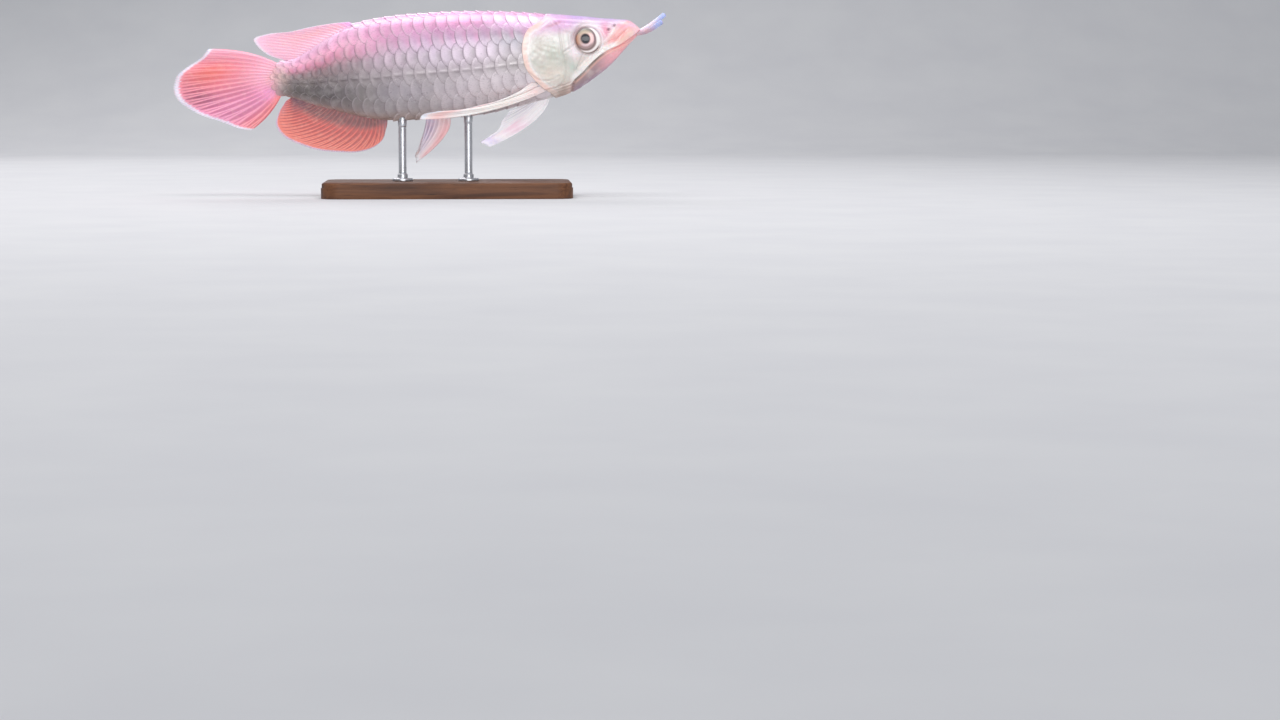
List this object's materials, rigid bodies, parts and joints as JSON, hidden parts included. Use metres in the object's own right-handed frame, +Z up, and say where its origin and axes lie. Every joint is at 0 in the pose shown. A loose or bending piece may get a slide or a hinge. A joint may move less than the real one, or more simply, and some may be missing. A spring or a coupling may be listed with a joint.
{
  "type": "asian arowana",
  "caption": "Still life-size model of an Asian arowana: long deep-bodied fish with large scales, upturned mouth, chin barbels and rear-set fins, on rods over a flat base.",
  "frame": {"origin": "centre of the flat underside of the stand's base", "axes": "+X towards the fish's head, along its length; +Y towards the fish's left side; +Z up from the base"},
  "size_m": [0.3785, 0.1252, 0.1419],
  "materials": {
    "head_skin": "smooth painted cast skin, pale pink to greenish white, wet sheen",
    "jaw_skin": "smooth painted cast skin, mauve pink, soft sheen",
    "gill_plate": "smooth bony plate, pale greenish white with a pink rim, wet sheen",
    "scales": "large overlapping scales, pink back over grey flanks, pearly sheen",
    "eye": "dark pupil in a tan and grey iris under a clear glossy coat",
    "barbel": "smooth pale pink feeler with bluish tip",
    "red_fin": "thin rayed fin, orange red, pale edge, slightly translucent",
    "pale_fin": "thin rayed fin, pink and cream, pale edge, slightly translucent",
    "stand_wood": "dark walnut, satin varnish",
    "stand_metal": "satin brushed steel rod"
  },
  "bodies": {
    "root": {"head": "head_skin", "lower_jaw": "jaw_skin", "gill_cover_right": "gill_plate", "gill_cover_left": "gill_plate", "eye_right": "eye", "eye_left": "eye", "barbel_right": "barbel", "barbel_left": "barbel", "trunk": "scales", "tail_stem": "scales", "dorsal_fin": "pale_fin", "anal_fin": "red_fin", "caudal_fin": "red_fin", "pectoral_fin_right": "pale_fin", "pectoral_fin_left": "pale_fin", "pelvic_fin_right": "pale_fin", "pelvic_fin_left": "pale_fin", "stand_base": "stand_wood", "stand_rod_front": "stand_metal", "stand_rod_rear": "stand_metal"}
  },
  "joints": []
}
